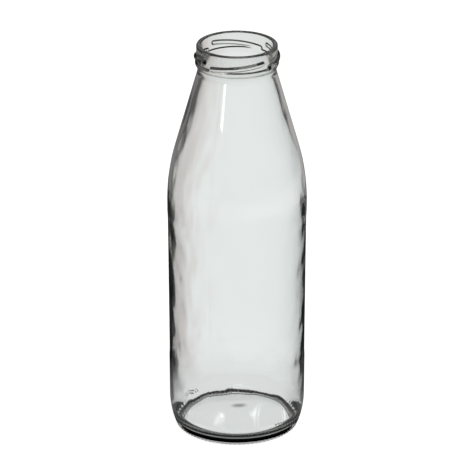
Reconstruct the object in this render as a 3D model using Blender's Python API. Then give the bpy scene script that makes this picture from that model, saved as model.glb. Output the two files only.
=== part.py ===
"""Clear glass milk bottle, about 0.75 litre, with a wide mouth and four twist-off lugs.

The bottle is one moulding of glass. Its wall is a turned shape: the outline below runs from the
middle of the floor inside, up the inner wall, over the lip, down the outer wall, and under the
foot to the middle of the pushed-up base. The four lugs that a twist-off cap grips are ridges that
climb round the finish, and they are the same glass as the rest.

Units are metres. +Z is up, and the origin is on the surface that the bottle stands on, at its axis.
"""

import math

import bmesh
import bpy

# Overall sizes
HEIGHT = 0.2305
BODY_DIAMETER = 0.0788

# Finish: the top of the bottle, which takes the cap
LIP_DIAMETER = 0.0453
LIP_WALL = 0.00265
LIP_ROUND = 0.0010
BEAD_DROP = 0.0106
BEAD_PROUD = 0.00075
BEAD_ROUND = 0.0020
NECK_UNDERCUT = 0.00065
NECK_FILLET = 0.0050

# Lugs, four starts of a right-handed thread. The last four values have no unit: how far out the
# two roundings of the section lie, as shares of LUG_PROUD, and how far out and how high a lug's tip
# is, as shares of its full size.
LUG_COUNT = 4
LUG_ABOVE_BEAD = 0.00345
LUG_LEAD = 0.0144
LUG_SPAN = math.radians(84)
LUG_TAPER = math.radians(9)
LUG_PROUD = 0.00135
LUG_ROOT_HEIGHT = 0.0028
LUG_CREST_HEIGHT = 0.0010
LUG_ROOT_DEPTH = 0.0006
LUG_EDGE_ROUND = 0.15
LUG_FACE_ROUND = 0.72
LUG_TIP_SIZE = 0.12
LUG_TIP_NARROWING = 0.5

# Neck and shoulder
NECK_HALF_ANGLE = math.radians(16)
NECK_WALL = 0.0022
BORE_FILLET = 0.0120
SHOULDER_RADIUS = 0.1200

# Body, with the shallow panel that holds a label
BODY_WALL = 0.0018
BODY_TAPER = 0.00068
PANEL_BELOW_SHOULDER = 0.0055
PANEL_ABOVE_HEEL = 0.0230
PANEL_DEPTH = 0.0002
PANEL_EDGE = 0.0060

# Heel and base
HEEL_HEIGHT = 0.0180
HEEL_SWEEP = 0.0450
FOOT_ROUND = 0.0015
BEARING_WIDTH = 0.0016
INSTEP_RISE = 0.0015
INSTEP_RUN = 0.0020
PUSH_UP = 0.0032
BASE_THICKNESS = 0.0024
FLOOR_CROWN = 0.0022
INNER_HEEL_RADIUS = 0.0090

# Facets: steps once round the bottle, along a lug, and along each arc of the outline
TURN_STEPS = 60
LUG_STEPS = 18
SMALL_ROUND_STEPS = 3
ROOT_STEPS = 4
BEAD_STEPS = 6
SHOULDER_STEPS = 8
HEEL_STEPS = 4
BASE_STEPS = 4
INNER_HEEL_STEPS = 5
SMOOTH_ANGLE = math.radians(40)

# Values that follow from the ones above
BODY_RADIUS = BODY_DIAMETER / 2
LIP_RADIUS = LIP_DIAMETER / 2
BORE_RADIUS = LIP_RADIUS - LIP_WALL
BEAD_HEIGHT = HEIGHT - BEAD_DROP
LUG_HEIGHT = BEAD_HEIGHT + LUG_ABOVE_BEAD
HEEL_RADIUS = BODY_RADIUS - BODY_TAPER


def arc(centre, radius, start, end, steps):
    """Points on a circle in the (radius, height) plane, from one angle to another in degrees."""
    turns = [math.radians(start + (end - start) * i / steps) for i in range(steps + 1)]
    return [(centre[0] + radius * math.cos(t), centre[1] + radius * math.sin(t)) for t in turns]


def neck_root():
    """Centre of the hollow under the bead, on a circle that touches the bead's circle."""
    across = LIP_RADIUS - NECK_UNDERCUT + NECK_FILLET - (LIP_RADIUS + BEAD_PROUD - BEAD_ROUND)
    down = math.sqrt((BEAD_ROUND + NECK_FILLET) ** 2 - across**2)
    return LIP_RADIUS - NECK_UNDERCUT + NECK_FILLET, BEAD_HEIGHT - down


def cone_start(centre, radius):
    """Where a hollow round turns into the straight side of the neck."""
    return (
        centre[0] - radius * math.cos(NECK_HALF_ANGLE),
        centre[1] - radius * math.sin(NECK_HALF_ANGLE),
    )


def shoulder(top, body_radius, sweep):
    """The arc from the neck's straight side, through its point top, round to the upright wall."""
    side = math.degrees(NECK_HALF_ANGLE)
    meet_radius = body_radius - sweep * (1 - math.cos(NECK_HALF_ANGLE))
    meet_height = top[1] - (meet_radius - top[0]) / math.tan(NECK_HALF_ANGLE)
    base_height = meet_height - sweep * math.sin(NECK_HALF_ANGLE)
    return arc((body_radius - sweep, base_height), sweep, side, 0, SHOULDER_STEPS)


def body_radius_at(height, base_height):
    """The outer wall draws in a little from the shoulder's foot down to the heel."""
    share = (base_height - height) / (base_height - HEEL_HEIGHT)
    return BODY_RADIUS - BODY_TAPER * share


def panel(base_height):
    """The two edges of the label panel, stepped in from the wall above and below it."""
    top = base_height - PANEL_BELOW_SHOULDER
    foot = HEEL_HEIGHT + PANEL_ABOVE_HEEL
    return [
        (body_radius_at(top, base_height), top),
        (body_radius_at(top - PANEL_EDGE, base_height) - PANEL_DEPTH, top - PANEL_EDGE),
        (body_radius_at(foot + PANEL_EDGE, base_height) - PANEL_DEPTH, foot + PANEL_EDGE),
        (body_radius_at(foot, base_height), foot),
    ]


def foot():
    """Heel sweep, rounded foot, flat bearing ring, instep and pushed-up base, down to the axis."""
    heel_centre = (HEEL_RADIUS - HEEL_SWEEP, HEEL_HEIGHT)
    drop = HEEL_HEIGHT - FOOT_ROUND
    inward = math.sqrt((HEEL_SWEEP - FOOT_ROUND) ** 2 - drop**2)
    foot_centre = (heel_centre[0] + inward, FOOT_ROUND)
    turn = math.degrees(math.asin(drop / (HEEL_SWEEP - FOOT_ROUND)))
    ring_inside = foot_centre[0] - BEARING_WIDTH
    instep = ring_inside - INSTEP_RUN
    rise = PUSH_UP - INSTEP_RISE
    dome_radius = (instep**2 + rise**2) / (2 * rise)
    edge = math.degrees(math.asin(instep / dome_radius))
    dome = arc((0, PUSH_UP - dome_radius), dome_radius, 90 - edge, 90, BASE_STEPS)
    return (
        arc(heel_centre, HEEL_SWEEP, 0, -turn, HEEL_STEPS)
        + arc(foot_centre, FOOT_ROUND, -turn, -90, SMALL_ROUND_STEPS)[1:]
        + [(ring_inside, 0.0)]
        + dome[:-1]
        + [(0.0, PUSH_UP)]
    )


def inside():
    """From the middle of the floor, up the inner wall, to the bore's edge at the lip."""
    floor = PUSH_UP + BASE_THICKNESS
    flat = HEEL_RADIUS - BODY_WALL - INNER_HEEL_RADIUS
    shares = [i / BASE_STEPS for i in range(BASE_STEPS)]
    crown = [(flat * share, floor - FLOOR_CROWN * share**2) for share in shares]
    heel_centre = (flat, floor - FLOOR_CROWN + INNER_HEEL_RADIUS)
    heel_round = arc(heel_centre, INNER_HEEL_RADIUS, -90, 0, INNER_HEEL_STEPS)

    side_shift = NECK_WALL / math.cos(NECK_HALF_ANGLE)
    outer_top = cone_start(neck_root(), NECK_FILLET)
    inner_top = (outer_top[0] - side_shift, outer_top[1])
    wall = shoulder(inner_top, BODY_RADIUS - BODY_WALL, SHOULDER_RADIUS - BODY_WALL)

    bore_centre_radius = BORE_RADIUS + BORE_FILLET
    bend = bore_centre_radius - BORE_FILLET * math.cos(NECK_HALF_ANGLE)
    bend_height = inner_top[1] - (bend - inner_top[0]) / math.tan(NECK_HALF_ANGLE)
    bore_centre = (bore_centre_radius, bend_height + BORE_FILLET * math.sin(NECK_HALF_ANGLE))
    side = math.degrees(NECK_HALF_ANGLE)
    bore_round = arc(bore_centre, BORE_FILLET, 180 + side, 180, SMALL_ROUND_STEPS)
    lip_centre = (BORE_RADIUS + LIP_ROUND, HEIGHT - LIP_ROUND)
    lip_round = arc(lip_centre, LIP_ROUND, 180, 90, SMALL_ROUND_STEPS)
    return crown + heel_round + wall[::-1] + bore_round + lip_round


def outside():
    """From the lip's outer edge down the finish, neck, shoulder, body and heel to the axis."""
    lip_centre = (LIP_RADIUS - LIP_ROUND, HEIGHT - LIP_ROUND)
    lip_round = arc(lip_centre, LIP_ROUND, 90, 0, SMALL_ROUND_STEPS)
    bead_centre = (LIP_RADIUS + BEAD_PROUD - BEAD_ROUND, BEAD_HEIGHT)
    root = neck_root()
    reach = math.degrees(math.acos((BEAD_ROUND - BEAD_PROUD) / BEAD_ROUND))
    touch = math.degrees(math.atan2(bead_centre[1] - root[1], root[0] - bead_centre[0]))
    bead = arc(bead_centre, BEAD_ROUND, reach, -touch, BEAD_STEPS)
    side = math.degrees(NECK_HALF_ANGLE)
    hollow = arc(root, NECK_FILLET, 180 - touch, 180 + side, ROOT_STEPS)[1:]
    wall = shoulder(cone_start(root, NECK_FILLET), BODY_RADIUS, SHOULDER_RADIUS)
    return lip_round + bead + hollow + wall + panel(wall[-1][1]) + foot()


def outline_object():
    """The outline as a line of edges, turned about the axis by a Screw modifier."""
    points = inside() + outside()
    mesh = bpy.data.meshes.new("glass_bottle")
    edges = [(i, i + 1) for i in range(len(points) - 1)]
    mesh.from_pydata([(r, 0.0, z) for r, z in points], edges, [])
    bottle = bpy.data.objects.new("glass_bottle", mesh)
    bpy.context.scene.collection.objects.link(bottle)
    turn = bottle.modifiers.new("turn", "SCREW")
    turn.axis = "Z"
    turn.angle = math.tau
    turn.steps = TURN_STEPS
    turn.render_steps = TURN_STEPS
    turn.use_merge_vertices = True
    turn.merge_threshold = 0.00001
    turn.use_smooth_shade = True
    return bottle


def lug_section(grow):
    """One cross-section of a lug, as (outwards, up) from the lip wall, rooted inside the glass.

    grow is small at the lug's tip and 1 along its full part.
    """
    proud = LUG_PROUD * grow
    tall = LUG_TIP_NARROWING + (1 - LUG_TIP_NARROWING) * grow
    root = LUG_ROOT_HEIGHT / 2 * tall
    crest = LUG_CREST_HEIGHT / 2 * tall
    upper_half = [
        (-LUG_ROOT_DEPTH, root),
        (LUG_EDGE_ROUND * proud, root),
        (LUG_FACE_ROUND * proud, (root + crest) / 2),
        (proud, crest),
    ]
    return upper_half + [(out, -up) for out, up in reversed(upper_half)]


def add_lug(mesh, turn):
    """Sweeps the lug's section along its climb round the finish, centred on the angle turn."""
    rings = []
    for station in range(LUG_STEPS + 1):
        share = station / LUG_STEPS
        along = LUG_SPAN * (share - 0.5)
        from_tip = min(LUG_SPAN * min(share, 1 - share) / LUG_TAPER, 1.0)
        grow = LUG_TIP_SIZE + (1 - LUG_TIP_SIZE) * math.sqrt(1 - (1 - from_tip) ** 2)
        rise = LUG_HEIGHT + LUG_LEAD * along / math.tau
        angle = turn + along
        ring = []
        for out, up in lug_section(grow):
            radius = LIP_RADIUS + out
            ring.append(mesh.verts.new((radius * math.cos(angle), radius * math.sin(angle), rise + up)))
        rings.append(ring)
    count = len(rings[0])
    for near, far in zip(rings, rings[1:]):
        for i in range(count):
            j = (i + 1) % count
            mesh.faces.new((near[i], near[j], far[j], far[i]))
    mesh.faces.new(rings[0][::-1])
    mesh.faces.new(rings[-1])


def lug_guide():
    """The four lugs as one hidden guide, which the bottle's Boolean joins to its wall."""
    shape = bmesh.new()
    for i in range(LUG_COUNT):
        add_lug(shape, math.tau * i / LUG_COUNT)
    bmesh.ops.recalc_face_normals(shape, faces=shape.faces)
    mesh = bpy.data.meshes.new("lug_guide")
    shape.to_mesh(mesh)
    shape.free()
    mesh.shade_smooth()
    mesh.set_sharp_from_angle(angle=SMOOTH_ANGLE)
    guide = bpy.data.objects.new("lug_guide", mesh)
    bpy.context.scene.collection.objects.link(guide)
    guide.hide_render = True
    guide.display_type = "WIRE"
    return guide


def glass_material():
    """Clear, faintly cool flint glass."""
    material = bpy.data.materials.new("clear_glass")
    material.use_nodes = True
    shader = material.node_tree.nodes["Principled BSDF"]
    shader.inputs["Base Color"].default_value = (0.86, 0.90, 0.89, 1.0)
    shader.inputs["Roughness"].default_value = 0.02
    shader.inputs["Metallic"].default_value = 0.0
    shader.inputs["Transmission Weight"].default_value = 1.0
    shader.inputs["IOR"].default_value = 1.52
    material.diffuse_color = (0.80, 0.86, 0.86, 1.0)
    return material


def main():
    for old in list(bpy.data.objects):
        bpy.data.objects.remove(old, do_unlink=True)
    bottle = outline_object()
    join = bottle.modifiers.new("lugs", "BOOLEAN")
    join.operation = "UNION"
    join.solver = "EXACT"
    join.object = lug_guide()
    bottle.data.materials.append(glass_material())


main()
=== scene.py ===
# %% [markdown]
# # A clear glass milk bottle
# The bottle is one moulding of flint glass. A gob of molten glass drops into an iron mould, a
# plunger presses the lip and the lugs that a twist-off cap grips, and air blows the rest out to the
# mould's walls. The outside is true, because iron shaped it. The inside is only air's work, so the
# wall is a little uneven, and that is what makes a bottle look like glass and not like plastic.
#
# This lesson turns the bottle's outline in Geometry Nodes, presses the lugs, the mould seams and the
# foot's serrations into it, and then lights it as a glass photographer does: bright field behind,
# dark edges beside.

import math

import bpy
import numpy as np
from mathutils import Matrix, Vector


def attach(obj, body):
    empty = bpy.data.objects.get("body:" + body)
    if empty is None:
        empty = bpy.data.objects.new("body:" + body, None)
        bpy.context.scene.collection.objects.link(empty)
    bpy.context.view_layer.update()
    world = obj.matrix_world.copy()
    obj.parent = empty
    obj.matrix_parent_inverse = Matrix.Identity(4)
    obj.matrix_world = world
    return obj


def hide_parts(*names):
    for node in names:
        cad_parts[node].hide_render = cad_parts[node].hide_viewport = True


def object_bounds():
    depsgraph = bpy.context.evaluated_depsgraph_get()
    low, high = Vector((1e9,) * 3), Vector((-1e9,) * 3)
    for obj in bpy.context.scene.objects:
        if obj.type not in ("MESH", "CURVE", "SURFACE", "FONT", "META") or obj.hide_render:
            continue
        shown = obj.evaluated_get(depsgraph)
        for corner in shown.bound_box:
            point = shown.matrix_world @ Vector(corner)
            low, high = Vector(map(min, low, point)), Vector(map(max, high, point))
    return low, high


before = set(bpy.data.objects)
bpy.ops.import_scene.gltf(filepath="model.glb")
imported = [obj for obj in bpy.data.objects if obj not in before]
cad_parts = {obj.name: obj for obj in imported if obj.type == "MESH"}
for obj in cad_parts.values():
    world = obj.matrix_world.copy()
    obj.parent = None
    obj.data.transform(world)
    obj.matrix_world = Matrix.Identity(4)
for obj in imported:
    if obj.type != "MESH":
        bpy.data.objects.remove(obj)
cad_low, cad_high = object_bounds()
print("solid from", tuple(round(v, 4) for v in cad_low), "to", tuple(round(v, 4) for v in cad_high))

# %% [markdown]
# ## Sizes
# The height and the body's width are read from the solid, so the looks can't drift away from it.
# The finish, which is the glassmaker's word for everything above the neck, is a standard one, so its
# sizes are fixed numbers. They are the ones that the solid uses too, apart from the lugs' flanks, which
# run out more softly here.

# %% Sizes of the bottle
MM = 0.001
HEIGHT = cad_high.z - cad_low.z
BODY_RADIUS = (cad_high.x - cad_low.x) / 2

LIP_RADIUS = 22.65 * MM
LIP_WALL = 2.65 * MM
LIP_ROUND = 1.0 * MM
LUG_WALL_DROP = 3.2 * MM
BORE_RADIUS = LIP_RADIUS - LIP_WALL
BEAD_HEIGHT = HEIGHT - 10.6 * MM
BEAD_PROUD = 0.75 * MM
BEAD_ROUND = 2.0 * MM
NECK_UNDERCUT = 0.65 * MM
NECK_FILLET = 5.0 * MM
NECK_ANGLE = math.radians(16)
NECK_WALL = 2.2 * MM
BORE_FILLET = 12.0 * MM
SHOULDER_SWEEP = 120.0 * MM

BODY_WALL = 1.8 * MM
BODY_TAPER = 0.68 * MM
PANEL_BELOW_SHOULDER = 5.5 * MM
PANEL_ABOVE_HEEL = 23.0 * MM
PANEL_DEPTH = 0.2 * MM
PANEL_EDGE = 6.0 * MM

HEEL_HEIGHT = 18.0 * MM
HEEL_RADIUS = BODY_RADIUS - BODY_TAPER
HEEL_SWEEP = 45.0 * MM
FOOT_ROUND = 1.5 * MM
BEARING_WIDTH = 1.6 * MM
INSTEP_RISE = 1.5 * MM
INSTEP_RUN = 2.0 * MM
PUSH_UP = 3.2 * MM
BASE_THICKNESS = 2.4 * MM
FLOOR_CROWN = 2.2 * MM
INNER_HEEL = 9.0 * MM
print(f"height {HEIGHT / MM:.1f} mm, body {2 * BODY_RADIUS / MM:.1f} mm across")

# %% [markdown]
# ## The outline
# An outline is drawn once, as half a section through the bottle, and then turned. It is a chain of
# arcs and straight runs, from the middle of the floor inside, up the inner wall, over the lip, down
# the outer wall and under the foot. Each stretch says how many rows it gets: many where the glass
# turns sharply, because a coarse corner shows as facets in the refraction, and few where it is straight.

# %% Arcs and straight runs
def arc(centre, radius, start, end, rows):
    """Points on a circle of the section, from one angle to another in degrees, ends included."""
    turns = np.radians(np.linspace(start, end, rows))
    return [(centre[0] + radius * math.cos(t), centre[1] + radius * math.sin(t)) for t in turns]


def run(start, end, rows):
    """Points between two others, without the first one and the last one."""
    shares = np.linspace(0, 1, rows + 2)[1:-1]
    return [(start[0] + (end[0] - start[0]) * s, start[1] + (end[1] - start[1]) * s) for s in shares]


def shoulder(top, body_radius, sweep, rows):
    """The arc from the neck's straight side round to the upright wall."""
    meet_radius = body_radius - sweep * (1 - math.cos(NECK_ANGLE))
    meet_height = top[1] - (meet_radius - top[0]) / math.tan(NECK_ANGLE)
    foot_height = meet_height - sweep * math.sin(NECK_ANGLE)
    return arc((body_radius - sweep, foot_height), sweep, math.degrees(NECK_ANGLE), 0, rows)


# %% The hollow under the bead, which the outer and the inner wall both start from
root_radius = LIP_RADIUS - NECK_UNDERCUT + NECK_FILLET
bead_centre = (LIP_RADIUS + BEAD_PROUD - BEAD_ROUND, BEAD_HEIGHT)
root_drop = math.sqrt((BEAD_ROUND + NECK_FILLET) ** 2 - (root_radius - bead_centre[0]) ** 2)
root_centre = (root_radius, BEAD_HEIGHT - root_drop)
neck_top = (
    root_centre[0] - NECK_FILLET * math.cos(NECK_ANGLE),
    root_centre[1] - NECK_FILLET * math.sin(NECK_ANGLE),
)
side = math.degrees(NECK_ANGLE)
print(f"straight neck starts at {neck_top[1] / MM:.1f} mm, {neck_top[0] / MM:.1f} mm from the axis")


# %% The outer outline, top to bottom
def finish_rows():
    """Lip, lug wall, bead and the hollow under it. The lug wall has close rows for the lugs."""
    reach = math.degrees(math.acos((BEAD_ROUND - BEAD_PROUD) / BEAD_ROUND))
    touch = math.degrees(math.atan2(root_drop, root_centre[0] - bead_centre[0]))
    lip = arc((LIP_RADIUS - LIP_ROUND, HEIGHT - LIP_ROUND), LIP_ROUND, 90, 0, 8)
    lug_top = (LIP_RADIUS, HEIGHT - LUG_WALL_DROP)
    bead = arc(bead_centre, BEAD_ROUND, reach, -touch, 15)
    lug_wall = [lug_top] + run(lug_top, bead[0], 29)
    hollow = arc(root_centre, NECK_FILLET, 180 - touch, 180 + side, 9)[1:]
    return lip + run(lip[-1], lug_top, 2) + lug_wall + bead + hollow


def panel_rows(top):
    """The label panel: two soft steps with the long, slightly drawn-in wall between them."""

    def wall(height, depth):
        share = (top[1] - height) / (top[1] - HEEL_HEIGHT)
        return (BODY_RADIUS - BODY_TAPER * share - depth, height)

    upper = top[1] - PANEL_BELOW_SHOULDER
    lower = HEEL_HEIGHT + PANEL_ABOVE_HEEL
    step = [(s, PANEL_DEPTH * s * s * (3 - 2 * s)) for s in np.linspace(0, 1, 5)]
    high = [wall(upper - PANEL_EDGE * s, depth) for s, depth in step]
    low = [wall(lower + PANEL_EDGE * s, depth) for s, depth in reversed(step)]
    heel = wall(HEEL_HEIGHT, 0)
    return run(top, high[0], 1) + high + run(high[-1], low[0], 9) + low + run(low[-1], heel, 4)


def foot_rows():
    """Heel sweep, rounded foot, bearing ring, instep and the pushed-up base, down to the axis."""
    drop = HEEL_HEIGHT - FOOT_ROUND
    turn = math.degrees(math.asin(drop / (HEEL_SWEEP - FOOT_ROUND)))
    heel_centre = (HEEL_RADIUS - HEEL_SWEEP, HEEL_HEIGHT)
    foot_radius = heel_centre[0] + math.sqrt((HEEL_SWEEP - FOOT_ROUND) ** 2 - drop**2)
    heel = arc(heel_centre, HEEL_SWEEP, 0, -turn, 10)
    foot = arc((foot_radius, FOOT_ROUND), FOOT_ROUND, -turn, -90, 8)[1:]
    ring = (foot_radius - BEARING_WIDTH, 0.0)
    instep = ring[0] - INSTEP_RUN
    rise = PUSH_UP - INSTEP_RISE
    dome_radius = (instep**2 + rise**2) / (2 * rise)
    edge = math.degrees(math.asin(instep / dome_radius))
    dome = arc((0, PUSH_UP - dome_radius), dome_radius, 90 - edge, 90, 16)
    curl = [
        (ring[0] + (dome[0][0] - ring[0]) * s, dome[0][1] * (s * s * (3 - 2 * s)))
        for s in np.linspace(0, 1, 8)[:-1]
    ]
    return heel + foot + run(foot[-1], ring, 2) + curl + dome[:-1] + [(0.0, PUSH_UP)]


outer_shoulder = shoulder(neck_top, BODY_RADIUS, SHOULDER_SWEEP, 12)
outer = finish_rows()
outer += run(outer[-1], outer_shoulder[0], 9) + outer_shoulder
outer += panel_rows(outer_shoulder[-1])[:-1] + foot_rows()
print(len(outer), "rows outside, lowest", round(min(z for r, z in outer) / MM, 3), "mm")


# %% The inner outline, bottom to top
def inner_rows():
    """The middle of the floor, the inner heel, wall, shoulder, neck and bore, up to the lip."""
    floor = PUSH_UP + BASE_THICKNESS
    wall_radius = HEEL_RADIUS - BODY_WALL
    flat = wall_radius - INNER_HEEL
    heel_centre = (flat, floor - FLOOR_CROWN + INNER_HEEL)
    floor_round = [(flat * s, floor - FLOOR_CROWN * s * s) for s in np.linspace(0, 1, 12)[:-1]]
    heel_round = arc(heel_centre, INNER_HEEL, -90, 0, 12)

    top = (neck_top[0] - NECK_WALL / math.cos(NECK_ANGLE), neck_top[1])
    wall = shoulder(top, BODY_RADIUS - BODY_WALL, SHOULDER_SWEEP - BODY_WALL, 12)[::-1]

    bore_centre_radius = BORE_RADIUS + BORE_FILLET
    bend_radius = bore_centre_radius - BORE_FILLET * math.cos(NECK_ANGLE)
    bend_height = top[1] - (bend_radius - top[0]) / math.tan(NECK_ANGLE)
    bore_centre = (bore_centre_radius, bend_height + BORE_FILLET * math.sin(NECK_ANGLE))
    bore = arc(bore_centre, BORE_FILLET, 180 + side, 180, 5)
    lip = arc((BORE_RADIUS + LIP_ROUND, HEIGHT - LIP_ROUND), LIP_ROUND, 180, 90, 7)
    upright = run(heel_round[-1], wall[0], 38)
    neck = run(wall[-1], bore[0], 9)
    return floor_round + heel_round + upright + wall + neck + bore + run(bore[-1], lip[0], 6) + lip


inner = inner_rows()
print(len(inner), "rows inside,", len(inner) + len(outer), "in all")

# %% [markdown]
# ## What each row of the outline may do
# The lugs, seams and serrations are pressed into the outer rows only, and the unevenness of the
# blown wall only into the inner ones. Each point of the outline carries three weights for that:
# how far the inner wall may wander there, how deep the foot's serrations go there, and whether the
# point is on the mould's side at all. They fade in and out, so nothing starts with a step.

# %% Give the outline its weights
def fade(values, start, end):
    """0 before start, 1 after end, smooth between them; start may be the larger one."""
    share = np.clip((values - start) / (end - start), 0, 1)
    return share * share * (3 - 2 * share)


WANDER_BELOW = (12 * MM, 30 * MM)
WANDER_ABOVE = (212 * MM, 185 * MM)
SERRATED_HEIGHTS = (2.2 * MM, 0.3 * MM)
SERRATED_RADII = (29.5 * MM, 32.5 * MM)

outline = np.array(inner + outer)
radii, heights = outline[:, 0], outline[:, 1]
mould_side = (np.arange(len(outline)) >= len(inner)).astype(float)
wander = (1 - mould_side) * fade(heights, *WANDER_BELOW) * fade(heights, *WANDER_ABOVE)
serrated = mould_side * fade(heights, *SERRATED_HEIGHTS) * fade(radii, *SERRATED_RADII)
print("rows that wander:", int((wander > 0).sum()), " serrated rows:", int((serrated > 0).sum()))


def outline_object():
    """The outline as loose points, with the three weights as one vector on each point."""
    mesh = bpy.data.meshes.new("outline")
    mesh.from_pydata([(r, 0.0, z) for r, z in outline], [], [])
    weights = mesh.attributes.new("weights", "FLOAT_VECTOR", "POINT")
    weights.data.foreach_set("vector", np.stack([wander, serrated, mould_side], 1).ravel())
    made = bpy.data.objects.new("bottle", mesh)
    bpy.context.scene.collection.objects.link(made)
    return made


# %% [markdown]
# ## A helper for node trees
# A Geometry Nodes tree made in a script gets long when each node takes five lines. This helper adds
# a node, fills its inputs with numbers or with other nodes' results, and hands its result back, so
# a formula reads like a formula.

# %% The node helper
class Nodes:
    """Adds nodes to one tree. Any input may be a number, a vector or another node's socket."""

    def __init__(self, tree):
        self.tree = tree

    def add(self, kind, *inputs, out=0, **settings):
        node = self.tree.nodes.new(kind)
        for name, value in settings.items():
            setattr(node, name, value)
        for slot, value in enumerate(inputs):
            self.feed(node.inputs[slot], value)
        return node.outputs[out]

    def feed(self, socket, value):
        if isinstance(value, bpy.types.NodeSocket):
            self.tree.links.new(value, socket)
        elif value is not None:
            socket.default_value = value

    def calc(self, operation, *inputs):
        return self.add("ShaderNodeMath", *inputs, operation=operation)

    def soft_step(self, value, start, end):
        """0 before start, 1 after end, smooth between them; start may be the larger one."""
        return self.add("ShaderNodeMapRange", value, start, end, 0.0, 1.0, interpolation_type="SMOOTHSTEP")

    def mix(self, share, first, second):
        """A number between two others."""
        return self.add("ShaderNodeMix", share, None, first, second)

    def mix_colour(self, share, first, second):
        """A colour between two others."""
        made = self.add("ShaderNodeMix", share, data_type="RGBA", out=2)
        self.feed(made.node.inputs[6], first)
        self.feed(made.node.inputs[7], second)
        return made

    def noise(self, place, scale, detail, roughness):
        made = self.add("ShaderNodeTexNoise", noise_dimensions="3D")
        settings = {"Vector": place, "Scale": scale, "Detail": detail, "Roughness": roughness}
        for name, value in settings.items():
            self.feed(made.node.inputs[name], value)
        return made

    def length(self, x, y):
        """How long a flat step of x and y is."""
        step = self.add("ShaderNodeCombineXYZ", x, y, 0.0)
        return self.add("ShaderNodeVectorMath", step, operation="LENGTH", out=1)

    def split(self, vector):
        """The three numbers of a vector."""
        return tuple(self.add("ShaderNodeSeparateXYZ", vector).node.outputs)

    def end(self, kind, result):
        """The tree's output node, with the result in its first input."""
        self.tree.links.new(result, self.tree.nodes.new(kind).inputs[0])


def new_geometry_tree(name, sizes):
    """An empty tree with a geometry in and out, and one named input for each size."""
    tree = bpy.data.node_groups.new(name, "GeometryNodeTree")
    tree.interface.new_socket("Outline", in_out="INPUT", socket_type="NodeSocketGeometry")
    tree.interface.new_socket("Glass", in_out="OUTPUT", socket_type="NodeSocketGeometry")
    kinds = {float: "NodeSocketFloat", int: "NodeSocketInt"}
    for label, value in sizes.items():
        socket = tree.interface.new_socket(label, in_out="INPUT", socket_type=kinds[type(value)])
        socket.default_value = value
    material = tree.interface.new_socket("Material", in_out="INPUT", socket_type="NodeSocketMaterial")
    return tree, material

# %% [markdown]
# ## Turn the outline and press the relief into it
# A lathe in Geometry Nodes is a flat grid that gets rolled up: one grid column for each step round
# the bottle, one grid row for each point of the outline. The tree looks up the outline's point by
# its row, and the turn by its column, and then moves the grid's point there.
#
# The relief is added on the way. A lug is a rounded bar that climbs the lip wall like one start of
# a thread. Its height above the wall depends only on how far a point lies from the bar's middle
# line, so its ends come out round by themselves. The mould seams are two fine ridges on opposite
# sides, where the halves of the mould met. The serrations are a cosine round the foot: on a real
# bottle they keep the ring from sliding, and let the foot cool without cracking.

# %% The lathe's sizes
COLUMNS = 344
SEAM_COLUMN = 63
MERGE_DISTANCE = 0.002 * MM
ON_AXIS = 0.001 * MM
WANDER_DETAIL = 1.5
WANDER_ROUGHNESS = 0.45

LATHE_SIZES = {
    "Columns": COLUMNS,
    "Lug count": 4.0,
    "Lug height": HEIGHT - 7.15 * MM,
    "Lug lead": 14.4 * MM,
    "Lug half span": math.radians(42),
    "Lug proud": 1.35 * MM,
    "Lug root": 1.75 * MM,
    "Lug crest": 0.35 * MM,
    "Lip radius": LIP_RADIUS,
    "Seam angle": math.tau * SEAM_COLUMN / COLUMNS,
    "Seam proud": 0.03 * MM,
    "Seam half width": 0.8 * MM,
    "Serrations": 86.0,
    "Serration depth": 0.5 * MM,
    "Wander": 0.32 * MM,
    "Wander per turn": 2.6,
    "Wander per metre": 62.0,
    "Off centre": 0.12 * MM,
}
print(COLUMNS, "columns round the bottle,", COLUMNS * len(outline), "points in the grid")


# %% The relief and the uneven wall
def lug_relief(n, size, turn, height):
    """How far a lug lifts the lip wall at this turn and height."""
    pitch = n.calc("DIVIDE", math.tau, size["Lug count"])
    half_pitch = n.calc("DIVIDE", pitch, 2.0)
    local = n.calc("WRAP", turn, half_pitch, n.calc("MULTIPLY", half_pitch, -1.0))
    climb = n.calc("DIVIDE", n.calc("MULTIPLY", local, size["Lug lead"]), math.tau)
    above = n.calc("SUBTRACT", height, n.calc("ADD", size["Lug height"], climb))
    along = n.calc("MULTIPLY", n.calc("ABSOLUTE", local), size["Lip radius"])
    half_long = n.calc("MULTIPLY", size["Lug half span"], size["Lip radius"])
    full = n.calc("SUBTRACT", half_long, size["Lug root"])
    past_end = n.calc("MAXIMUM", n.calc("SUBTRACT", along, full), 0.0)
    squares = n.calc("ADD", n.calc("MULTIPLY", past_end, past_end), n.calc("MULTIPLY", above, above))
    rise = n.soft_step(n.calc("SQRT", squares), size["Lug root"], size["Lug crest"])
    return n.calc("MULTIPLY", rise, size["Lug proud"])


def seam_relief(n, size, turn, radius):
    """The fine ridge that the mould halves leave on two opposite sides."""
    off = n.calc("WRAP", n.calc("SUBTRACT", turn, size["Seam angle"]), math.pi / 2, -math.pi / 2)
    across = n.calc("MULTIPLY", n.calc("ABSOLUTE", off), radius)
    return n.calc("MULTIPLY", n.soft_step(across, size["Seam half width"], 0.0), size["Seam proud"])


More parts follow.
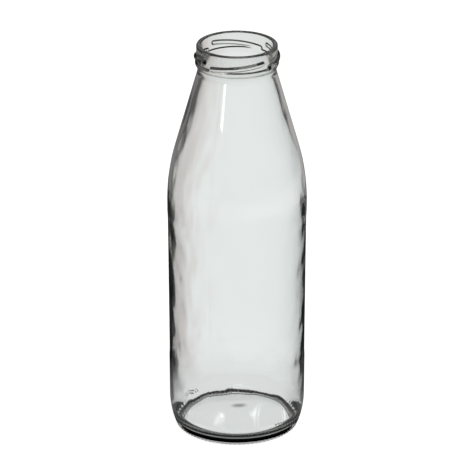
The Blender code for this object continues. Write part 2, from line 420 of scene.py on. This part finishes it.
def wall_wander(n, size, turn, height):
    """The blown inner wall: soft swells, longer round the bottle than up it, and a hollow off centre."""
    cosine, sine = n.calc("COSINE", turn), n.calc("SINE", turn)
    where = n.add(
        "ShaderNodeCombineXYZ",
        n.calc("MULTIPLY", cosine, size["Wander per turn"]),
        n.calc("MULTIPLY", sine, size["Wander per turn"]),
        n.calc("MULTIPLY", height, size["Wander per metre"]),
    )
    noise = n.noise(where, 1.0, WANDER_DETAIL, WANDER_ROUGHNESS)
    swell = n.calc("MULTIPLY", n.calc("SUBTRACT", noise, 0.5), size["Wander"])
    return n.calc("ADD", n.calc("MULTIPLY", swell, 2.0), n.calc("MULTIPLY", cosine, size["Off centre"]))


# %% The lathe tree
def build_lathe():
    """The whole tree: grid in, outline looked up, relief added, seam closed, material set."""
    tree, material = new_geometry_tree("bottle_lathe", LATHE_SIZES)
    n = Nodes(tree)
    given = tree.nodes.new("NodeGroupInput")
    size = {label: given.outputs[label] for label in LATHE_SIZES}

    rows = n.add("GeometryNodeAttributeDomainSize", given.outputs["Outline"], component="MESH")
    columns = n.calc("ADD", size["Columns"], 1.0)
    grid = n.add("GeometryNodeMeshGrid", 1.0, 1.0, columns, rows)
    index = n.add("GeometryNodeInputIndex")
    row = n.calc("MODULO", index, rows)
    column = n.calc("FLOOR", n.calc("DIVIDE", n.calc("ADD", index, 0.5), rows))
    turn = n.calc("DIVIDE", n.calc("MULTIPLY", column, math.tau), size["Columns"])

    place = n.add("GeometryNodeInputPosition")
    named = n.add("GeometryNodeInputNamedAttribute", "weights", data_type="FLOAT_VECTOR")
    outline_at, weights_at = (
        n.add("GeometryNodeSampleIndex", given.outputs["Outline"], value, row, data_type="FLOAT_VECTOR")
        for value in (place, named)
    )
    radius, _, height = n.split(outline_at)
    wander_share, foot_share, mould_share = n.split(weights_at)

    pressed = n.calc("ADD", lug_relief(n, size, turn, height), seam_relief(n, size, turn, radius))
    blown = n.calc("MULTIPLY", wall_wander(n, size, turn, height), wander_share)
    grown = n.calc("ADD", radius, n.calc("ADD", n.calc("MULTIPLY", pressed, mould_share), blown))
    new_radius = n.calc("MULTIPLY", grown, n.calc("GREATER_THAN", radius, ON_AXIS))

    tooth = n.calc("COSINE", n.calc("MULTIPLY", turn, size["Serrations"]))
    between_teeth = n.calc("MULTIPLY", n.calc("SUBTRACT", 1.0, tooth), 0.5)
    dip = n.calc("MULTIPLY", between_teeth, size["Serration depth"])
    new_height = n.calc("ADD", height, n.calc("MULTIPLY", dip, foot_share))

    point = n.add(
        "ShaderNodeCombineXYZ",
        n.calc("MULTIPLY", new_radius, n.calc("COSINE", turn)),
        n.calc("MULTIPLY", new_radius, n.calc("SINE", turn)),
        new_height,
    )
    rolled = n.add("GeometryNodeSetPosition", grid, None, point)
    closed = n.add("GeometryNodeMergeByDistance", rolled, True, MERGE_DISTANCE)
    outward = n.add("GeometryNodeFlipFaces", closed, True)
    smooth = n.add("GeometryNodeSetShadeSmooth", outward, True, True)
    whole = n.add("GeometryNodeRealizeInstances", smooth)
    painted = n.add("GeometryNodeSetMaterial", whole, True, given.outputs["Material"])
    n.end("NodeGroupOutput", painted)
    print("lathe tree:", len(tree.nodes), "nodes")
    return tree, material


# %% [markdown]
# ## From the tree to a plain mesh
# A modifier's inputs are set by the identifier of each socket. Then the evaluated result is copied
# into a plain mesh, because a finished piece carries its shape in its own points, and the modifier
# goes. The first check on any glass is that its faces point outwards: a renderer decides by them
# where glass starts and where air does, and a bottle that is inside out looks like a lens of air.

# %% Turn the bottle
def baked(source, tree_and_material, sizes, material):
    """The object's Geometry Nodes result as a plain mesh object that keeps the object's name."""
    tree, material_socket = tree_and_material
    modifier = source.modifiers.new("lathe", "NODES")
    modifier.node_group = tree
    for item in tree.interface.items_tree:
        if item.in_out == "INPUT" and item.name in sizes:
            modifier[item.identifier] = sizes[item.name]
    modifier[material_socket.identifier] = material
    bpy.context.view_layer.update()
    seen = source.evaluated_get(bpy.context.evaluated_depsgraph_get())
    mesh = bpy.data.meshes.new_from_object(seen)
    mesh.name = source.name
    source.modifiers.remove(modifier)
    source.data = mesh
    mesh.materials.clear()
    mesh.materials.append(material)
    mesh.polygons.foreach_set("material_index", np.zeros(len(mesh.polygons), np.int32))
    return source


def enclosed_volume(mesh):
    """Signed volume: positive when the faces point outwards."""
    mesh.calc_loop_triangles()
    points = np.empty(len(mesh.vertices) * 3)
    mesh.vertices.foreach_get("co", points)
    corners = np.empty(len(mesh.loop_triangles) * 3, int)
    mesh.loop_triangles.foreach_get("vertices", corners)
    a, b, c = points.reshape(-1, 3)[corners.reshape(-1, 3)].transpose(1, 0, 2)
    return float((np.cross(a, b) * c).sum() / 6)


# %% [markdown]
# ## Flint glass
# Clear glass has almost no colour of its own. What is seen is its refraction, and that needs three
# things: the true index of refraction on the shader's own socket, real walls with an inside and an
# outside, and a trace of colour that grows with thickness, which is why an edge or a thick foot
# looks grey-green and the panel does not. That last one is an absorbing volume. The mould's skin is
# slight, so it is a faint roughness and a faint bump from noise.
#
# Four things are painted on the surface by their place on the bottle. The pressed finish is painted a
# little greyer than the blown wall, a painted shade that darkens the top of the bottle. The lowest
# millimetre of the foot is made rough and painted near black, a painted shade where the foot stands on
# the table, so it lets little light through and mirrors darkly. A soft grey mark lies in the middle of
# the floor. And near the heel, where a maker puts codes, there are two rows of plain round dots.

# %% What is painted on the glass, and where
GLASS_INDEX = 1.52
CLEAR_COOL = (0.985, 0.995, 0.992, 1.0)
CLEAR_PLAIN = (0.998, 0.998, 0.998, 1.0)
VOLUME_COLOUR = (0.72, 0.80, 0.74, 1.0)
VOLUME_DENSITY = 7.0

NOISE_ROUGHNESS = 0.5
SKIN_SCALE = 55.0
SKIN_DETAIL = 2.0
SKIN_ROUGHNESS = 0.004
SKIN_BUMP = 0.10
SKIN_DEPTH = 0.2 * MM
SCUFF_SCALE = 420.0
SCUFF_DETAIL = 4.0
SCUFF_ROUGHNESS = 0.10
SCUFF_HEIGHTS = (5.0 * MM, 1.0 * MM)
SCUFF_LEVELS = (0.50, 0.72)

# Painted shade: the finish at the top of the bottle is tinted grey so that it reads darker.
FINISH_SHADE_HEIGHTS = (HEIGHT - 19.0 * MM, HEIGHT - 11.0 * MM)
FINISH_SHADE_GREY = (0.84, 0.84, 0.83, 1.0)

# Painted shade: the lowest millimetre of the foot's ring is painted near black. Its reflection is darkened
# and its light mostly stopped, as shade where it stands on the table.
FOOT_SHADE_HEIGHTS = (1.2 * MM, 0.4 * MM)
FOOT_SHADE_RADII = (32.0 * MM, 33.0 * MM)
FOOT_SHADE_COLOUR = (0.016, 0.015, 0.009, 1.0)
FOOT_SHADE_GLOSS = (0.10, 0.10, 0.08, 1.0)
FOOT_SHADE_OPACITY = 0.85
FOOT_BAND_ROUGHNESS = 0.35

MARK_PLACE = (0.8 * MM, 8.0 * MM)
MARK_FLATNESS = 1.7
MARK_RADII = (6.5 * MM, 1.5 * MM)
MARK_HEIGHTS = (9.0 * MM, 7.0 * MM)
MARK_COLOUR = (0.36, 0.35, 0.34, 1.0)

DOT_ROWS = ((134.0, 7, 6.5 * MM), (-54.0, 8, 11.0 * MM))
DOT_RING_RADIUS = 37.8 * MM
DOT_PITCH = 1.9 * MM
DOT_RADII = (0.75 * MM, 0.3 * MM)
DOT_COLOUR = (0.10, 0.10, 0.09, 1.0)


# %% The marks
def floor_mark(n, x, y, height):
    """1 in the middle of the soft mark on the floor, 0 outside it."""
    across = n.calc("SUBTRACT", x, MARK_PLACE[0])
    along = n.calc("MULTIPLY", n.calc("SUBTRACT", y, MARK_PLACE[1]), MARK_FLATNESS)
    near = n.soft_step(n.length(across, along), *MARK_RADII)
    return n.calc("MULTIPLY", near, n.soft_step(height, *MARK_HEIGHTS))


def dot_rows(n, x, y, height):
    """1 inside the dots of the two rows, 0 outside. A row is its first angle, its count and its height."""
    turn = n.calc("ARCTAN2", y, x)
    rows = []
    for first, count, level in DOT_ROWS:
        along = n.calc("MULTIPLY", n.calc("SUBTRACT", turn, math.radians(first)), DOT_RING_RADIUS)
        beside = n.calc("WRAP", along, DOT_PITCH / 2, -DOT_PITCH / 2)
        off_dot = n.length(beside, n.calc("SUBTRACT", height, level))
        off_middle = n.calc("ABSOLUTE", n.calc("SUBTRACT", along, (count - 1) * DOT_PITCH / 2))
        in_row = n.calc("LESS_THAN", off_middle, count * DOT_PITCH / 2)
        rows.append(n.calc("MULTIPLY", n.soft_step(off_dot, *DOT_RADII), in_row))
    return n.calc("MAXIMUM", *rows)


# %% The glass material
def flint_glass():
    """Principled glass with mould skin, a worn foot, painted shade on the finish and on the foot's lowest
    millimetre, a few marks and an absorbing volume.
    """
    material = bpy.data.materials.new("flint_glass")
    material.use_nodes = True
    tree = material.node_tree
    shader = tree.nodes["Principled BSDF"]
    shader.inputs["Metallic"].default_value = 0.0
    shader.inputs["IOR"].default_value = GLASS_INDEX
    shader.inputs["Transmission Weight"].default_value = 1.0
    n = Nodes(tree)
    place = n.add("ShaderNodeTexCoord", out=3)
    x, y, height = n.split(place)
    skin = n.noise(place, SKIN_SCALE, SKIN_DETAIL, NOISE_ROUGHNESS)
    scuffs = n.noise(place, SCUFF_SCALE, SCUFF_DETAIL, NOISE_ROUGHNESS)
    wear = n.calc("MULTIPLY", n.soft_step(scuffs, *SCUFF_LEVELS), n.soft_step(height, *SCUFF_HEIGHTS))
    # Painted shade on the foot's lowest millimetre, inside its ring.
    in_ring = n.soft_step(n.length(x, y), *FOOT_SHADE_RADII)
    foot_shade = n.calc("MULTIPLY", n.soft_step(height, *FOOT_SHADE_HEIGHTS), in_ring)

    colour = n.mix_colour(skin, CLEAR_COOL, CLEAR_PLAIN)
    # Painted shade: the finish is greyer than the wall, by height.
    colour = n.mix_colour(n.soft_step(height, *FINISH_SHADE_HEIGHTS), colour, FINISH_SHADE_GREY)
    colour = n.mix_colour(foot_shade, colour, FOOT_SHADE_COLOUR)
    colour = n.mix_colour(floor_mark(n, x, y, height), colour, MARK_COLOUR)
    colour = n.mix_colour(dot_rows(n, x, y, height), colour, DOT_COLOUR)
    n.feed(shader.inputs["Base Color"], colour)

    rough = n.calc("MULTIPLY", skin, SKIN_ROUGHNESS)
    rough = n.calc("ADD", rough, n.calc("MULTIPLY", wear, SCUFF_ROUGHNESS))
    rough = n.calc("ADD", rough, n.calc("MULTIPLY", foot_shade, FOOT_BAND_ROUGHNESS))
    n.feed(shader.inputs["Roughness"], rough)
    # The same painted shade dims the foot's light and darkens its reflection.
    clear = n.calc("SUBTRACT", 1.0, n.calc("MULTIPLY", foot_shade, FOOT_SHADE_OPACITY))
    n.feed(shader.inputs["Transmission Weight"], clear)
    n.feed(shader.inputs["Specular Tint"], n.mix_colour(foot_shade, (1.0, 1.0, 1.0, 1.0), FOOT_SHADE_GLOSS))

    bump = n.add("ShaderNodeBump").node
    for name, value in {"Strength": SKIN_BUMP, "Distance": SKIN_DEPTH, "Height": skin}.items():
        n.feed(bump.inputs[name], value)
    n.feed(shader.inputs["Normal"], bump.outputs[0])
    absorb = n.add("ShaderNodeVolumeAbsorption", VOLUME_COLOUR, VOLUME_DENSITY)
    n.feed(tree.nodes["Material Output"].inputs["Volume"], absorb)
    print("glass:", len(tree.nodes), "nodes")
    return material


glass = flint_glass()
bottle = baked(outline_object(), build_lathe(), LATHE_SIZES, glass)
bottle.name = "glass_bottle_blown"
bottle_volume = enclosed_volume(bottle.data)
print(len(bottle.data.loop_triangles), "triangles,", round(bottle_volume * 1e6, 1), "cm3 of glass")

# %% [markdown]
# ## Floor
# A pale, matt floor. It glows a little by itself, as a lit table does, so the bottle stands on an
# even white and only its foot leaves a soft shadow.

# %% The floor
FLOOR_RADIUS = 30.0
FLOOR_DROP = 0.05 * MM
FLOOR_GREY = (0.80, 0.80, 0.80, 1.0)
FLOOR_ROUGHNESS = 0.9
FLOOR_GLOSS = 0.1
FLOOR_GLOW = 0.85
RIM_CORNERS = 96


def disc(name, radius, height, material):
    """A flat round disc, whose middle lies on the bottle's axis."""
    mesh = bpy.data.meshes.new(name)
    rim = [math.tau * i / RIM_CORNERS for i in range(RIM_CORNERS)]
    points = [(radius * math.cos(t), radius * math.sin(t), height) for t in rim]
    mesh.from_pydata(points, [], [range(RIM_CORNERS)])
    mesh.materials.append(material)
    made = bpy.data.objects.new(name, mesh)
    bpy.context.scene.collection.objects.link(made)
    return made


def matt_white():
    """Matt white that glows a little by itself."""
    material = bpy.data.materials.new("matt_white")
    material.use_nodes = True
    shader = material.node_tree.nodes["Principled BSDF"]
    shader.inputs["Base Color"].default_value = FLOOR_GREY
    shader.inputs["Roughness"].default_value = FLOOR_ROUGHNESS
    shader.inputs["Specular IOR Level"].default_value = FLOOR_GLOSS
    shader.inputs["Emission Color"].default_value = (1.0, 1.0, 1.0, 1.0)
    shader.inputs["Emission Strength"].default_value = FLOOR_GLOW
    return material


floor = disc("floor", FLOOR_RADIUS, -FLOOR_DROP, matt_white())
floor.visible_transmission = False
floor.visible_glossy = False
print("floor", round(2 * FLOOR_RADIUS), "m across")

# %% [markdown]
# ## What the glass sees of the table
# Light that leaves the foot downwards lands on the table close by, and light that leaves the lip
# downwards lands much further out. So the same glass is bright low down and dark higher up. One
# disc gives both: a lit pool round the foot, with a dark ring where the foot keeps the light away,
# and beyond the pool a dark cloth that only mirrored light sees. Mirrored light also sees the pool
# much dimmer and its dark ring wider, which is what fills the front of the foot with dark. The
# camera doesn't see the disc itself.

# %% The lit pool and the dark cloth
CLOTH_RADIUS = 430.0 * MM
CLOTH_DROP = 0.03 * MM
CLOTH_BRIGHT = 0.02
POOL_RADIUS = 105.0 * MM
POOL_FADE = 60.0 * MM
POOL_BRIGHT = 0.84
POOL_MIRRORED = 0.168
POOL_COLOUR = (0.98, 1.0, 0.995, 1.0)
CONTACT_INNER = 31.8 * MM
CONTACT_OUTER = 34.4 * MM
CONTACT_SOFT = 0.6 * MM
SHADOW_OUTER = 37.0 * MM
SHADOW_SOFT = 6.0 * MM


def mirrored_on_the_way(n):
    """1 for light that was mirrored at least once before it came here, 0 for other light."""
    ray = n.add("ShaderNodeLightPath").node
    return n.calc("GREATER_THAN", ray.outputs["Glossy Depth"], 0.5)


def pool_and_cloth():
    """A glowing material: pool with a dark contact ring, and cloth beyond it for mirrored light."""
    material = bpy.data.materials.new("pool_and_cloth")
    material.use_nodes = True
    tree = material.node_tree
    tree.nodes.clear()
    n = Nodes(tree)
    place = n.add("ShaderNodeTexCoord", out=3)
    radius = n.add("ShaderNodeVectorMath", place, operation="LENGTH", out=1)
    mirrored = mirrored_on_the_way(n)

    past_inner = n.soft_step(radius, CONTACT_INNER - CONTACT_SOFT, CONTACT_INNER + CONTACT_SOFT)
    beyond = n.calc("SUBTRACT", radius, n.mix(mirrored, CONTACT_OUTER, SHADOW_OUTER))
    within_outer = n.soft_step(beyond, n.mix(mirrored, CONTACT_SOFT, SHADOW_SOFT), 0.0)
    off_ring = n.calc("SUBTRACT", 1.0, n.calc("MULTIPLY", past_inner, within_outer))
    lit = n.calc("MULTIPLY", off_ring, n.mix(mirrored, POOL_BRIGHT, POOL_MIRRORED))

    pool = n.soft_step(radius, POOL_RADIUS, POOL_RADIUS - POOL_FADE)
    cloth = n.calc("MULTIPLY", mirrored, n.calc("SUBTRACT", 1.0, pool))
    glow = n.add("ShaderNodeEmission", POOL_COLOUR, n.mix(cloth, lit, CLOTH_BRIGHT))
    solid = n.calc("MAXIMUM", pool, mirrored)
    mixed = n.add("ShaderNodeMixShader", solid, n.add("ShaderNodeBsdfTransparent"), glow)
    n.end("ShaderNodeOutputMaterial", mixed)
    return material


table = disc("table_for_glass", CLOTH_RADIUS, -CLOTH_DROP, pool_and_cloth())
table.visible_camera = False
table.visible_diffuse = False
table.visible_shadow = False
print("pool", round(POOL_RADIUS / MM), "mm, cloth", round(CLOTH_RADIUS / MM), "mm from the axis")

# %% [markdown]
# ## Bright field
# Glass has no shading of its own, it only shows what stands around it. A glass photographer puts a
# bright panel straight behind it and leaves the room dark beside it. Light that passes the middle of
# the bottle then comes from the panel, and light that passes the steep edges comes from the dark, so
# the edges are drawn in black.
#
# One panel would serve one camera. Here the sky tells two kinds of light apart instead. Light that
# only passed through glass sees white panels all round, each dimmer and warmer towards one side, with
# grey gaps between them, a grey ceiling above and the dark of the room steeply below. Light that was
# mirrored on the way sees a dark room, a grey ceiling, the far end of the table as a faint strip that
# is lighter on one side, and two small windows that draw the soft highlights on the floor. In a
# bottle's wall the outermost strip mirrors all light inwards, so it turns black by itself, from every
# side, as wide as the wall is thick.

# %% Light that only passed through glass
PANELS = 8.0
PANEL_BRIGHT = 0.97
PANEL_DIMMED = 0.80
PANEL_COLOUR = (0.970, 1.0, 0.995, 1.0)
GAP_BRIGHT = 0.17
GAP_COLOUR = (1.0, 0.965, 0.94, 1.0)
GAP_START = math.radians(14)
GAP_END = math.radians(-19)
EDGE_SOFT = math.radians(6)
ROOM_BRIGHT = 0.03
CEILING_LIFTS = (math.radians(8), math.radians(22))
STEEP_LIFTS = (math.radians(-29), math.radians(-36))


def passing_light(n, turn, lift):
    """Brightness and colour of the panels and gaps, by the turn and the lift of the light's way."""
    half = math.pi / PANELS
    off = n.calc("WRAP", turn, half, -half)
    dimming = n.soft_step(off, 0.0, GAP_START - EDGE_SOFT)
    one_side = n.soft_step(off, GAP_START, GAP_START - EDGE_SOFT)
    other_side = n.soft_step(off, GAP_END, GAP_END + EDGE_SOFT)
    inside = n.calc("MULTIPLY", one_side, other_side)
    level = n.mix(inside, GAP_BRIGHT, n.mix(dimming, PANEL_BRIGHT, PANEL_DIMMED))
    level = n.mix(n.soft_step(lift, *STEEP_LIFTS), level, ROOM_BRIGHT)
    level = n.mix(n.soft_step(lift, *CEILING_LIFTS), level, GAP_BRIGHT)
    cool = n.calc("MULTIPLY", inside, n.calc("SUBTRACT", 1.0, dimming))
    return level, n.mix_colour(cool, GAP_COLOUR, PANEL_COLOUR)


# %% Light that was mirrored on the way
UPWARD_BRIGHT = 0.50
UPWARD_LIFTS = (math.radians(9), math.radians(19))
FAR_LEFT = 0.20
FAR_RIGHT = 0.42
FAR_SIDES = (-0.2, 0.5)
FAR_START_LIFTS = (math.radians(-26), math.radians(-20))
FAR_END_LIFTS = (math.radians(-8), math.radians(-12))
WINDOWS = ((94.2, 29.5, 1.8, 5.0), (85.4, 28.1, 1.8, 7.0))
WINDOW_BRIGHT = 3.2


def mirrored_light(n, x, turn, lift):
    """Brightness of the dark room, the far table, the ceiling and the windows."""
    far = n.calc("MULTIPLY", n.soft_step(lift, *FAR_START_LIFTS), n.soft_step(lift, *FAR_END_LIFTS))
    level = n.mix(far, ROOM_BRIGHT, n.mix(n.soft_step(x, *FAR_SIDES), FAR_LEFT, FAR_RIGHT))
    level = n.mix(n.soft_step(lift, *UPWARD_LIFTS), level, UPWARD_BRIGHT)
    for azimuth, elevation, wide, tall in WINDOWS:
        beside = n.calc("DIVIDE", n.calc("SUBTRACT", turn, math.radians(azimuth)), math.radians(wide))
        above = n.calc("DIVIDE", n.calc("SUBTRACT", lift, math.radians(elevation)), math.radians(tall))
        window = n.soft_step(n.length(beside, above), 1.0, 0.0)
        level = n.calc("ADD", level, n.calc("MULTIPLY", window, WINDOW_BRIGHT))
    return level


# %% The sky around the bottle
def bright_field():
    """A world of white panels for passing light, a dark room for mirrored light, white for the eye."""
    world = bpy.data.worlds.new("bright_field")
    bpy.context.scene.world = world
    world.use_nodes = True
    tree = world.node_tree
    tree.nodes.clear()
    n = Nodes(tree)
    x, y, z = n.split(n.add("ShaderNodeTexCoord", out=0))
    turn, lift = n.calc("ARCTAN2", y, x), n.calc("ARCSINE", z)
    passing, colour = passing_light(n, turn, lift)
    seen = n.mix(mirrored_on_the_way(n), passing, mirrored_light(n, x, turn, lift))
    for_glass = n.add("ShaderNodeBackground", colour, seen)
    for_eye = n.add("ShaderNodeBackground", (1.0, 1.0, 1.0, 1.0), 1.0)
    eye = n.add("ShaderNodeLightPath").node.outputs["Is Camera Ray"]
    mixed = n.add("ShaderNodeMixShader", eye, for_glass, for_eye)
    n.end("ShaderNodeOutputWorld", mixed)
    print("sky:", len(tree.nodes), "nodes")


bright_field()

# %% [markdown]
# ## Lamps
# Two lamps add what the sky doesn't. An upright strip beside the bottle draws the one long, sharp
# highlight on its neck, and a weak softbox overhead lights the floor.

# %% The strip and the softbox
STRIP_BOTTOM = (-0.276, -0.432, 0.271)
STRIP_WIDTH = 0.060
STRIP_HEIGHT = 0.16
STRIP_POWER = 0.20
TOP_AZIMUTH = math.radians(300)
TOP_ELEVATION = math.radians(70)
TOP_DISTANCE = 1.2
TOP_SIDE = 0.8
TOP_POWER = 6.0
TOP_AIM = (0.0, 0.0, HEIGHT * 0.55)


def area_light(name, place, outward, width, height, power):
    """A lamp that shines against the outward direction. The camera and passing light don't see it."""
    lamp = bpy.data.lights.new(name, "AREA")
    lamp.shape = "RECTANGLE"
    lamp.size = width
    lamp.size_y = height
    lamp.energy = power
    made = bpy.data.objects.new(name, lamp)
    bpy.context.scene.collection.objects.link(made)
    made.location = place
    made.rotation_euler = (-outward).to_track_quat("-Z", "Y").to_euler()
    made.visible_camera = False
    made.visible_transmission = False


def strip_light():
    """Stands upright at its place and looks level at the bottle's axis."""
    middle = Vector(STRIP_BOTTOM) + Vector((0, 0, STRIP_HEIGHT / 2))
    outward = Vector((middle.x, middle.y, 0)).normalized()
    area_light("strip_left", middle, outward, STRIP_WIDTH, STRIP_HEIGHT, STRIP_POWER)


def top_softbox():
    """Looks at the middle of the bottle from high up."""
    level = math.cos(TOP_ELEVATION)
    outward = Vector(
        (math.cos(TOP_AZIMUTH) * level, math.sin(TOP_AZIMUTH) * level, math.sin(TOP_ELEVATION))
    )
    place = Vector(TOP_AIM) + outward * TOP_DISTANCE
    area_light("top", place, outward, TOP_SIDE, TOP_SIDE, TOP_POWER)


strip_light()
top_softbox()
print(STRIP_POWER, "W strip and", TOP_POWER, "W softbox")

# %% [markdown]
# ## Camera
# A long lens, a little above the bottle and looking slightly down on it.

# %% The camera
CAMERA_PLACE = (0.0, -1.7733, 0.8649)
CAMERA_TILT = math.radians(22.951)
LENS = 257.5


def camera():
    """The scene's camera, on the bottle's front side."""
    data = bpy.data.cameras.new("camera")
    data.lens = LENS
    data.sensor_width = 36.0
    data.clip_end = 100.0
    made = bpy.data.objects.new("camera", data)
    bpy.context.scene.collection.objects.link(made)
    made.location = CAMERA_PLACE
    made.rotation_euler = (math.pi / 2 - CAMERA_TILT, 0, 0)
    bpy.context.scene.camera = made


camera()
bpy.context.scene.view_settings.view_transform = "Standard"
print("lens", LENS, "mm, tilted down", round(math.degrees(CAMERA_TILT), 1), "degrees")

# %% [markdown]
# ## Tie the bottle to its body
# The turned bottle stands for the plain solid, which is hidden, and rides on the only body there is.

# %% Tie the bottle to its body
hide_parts("glass_bottle")
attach(bottle, "root")
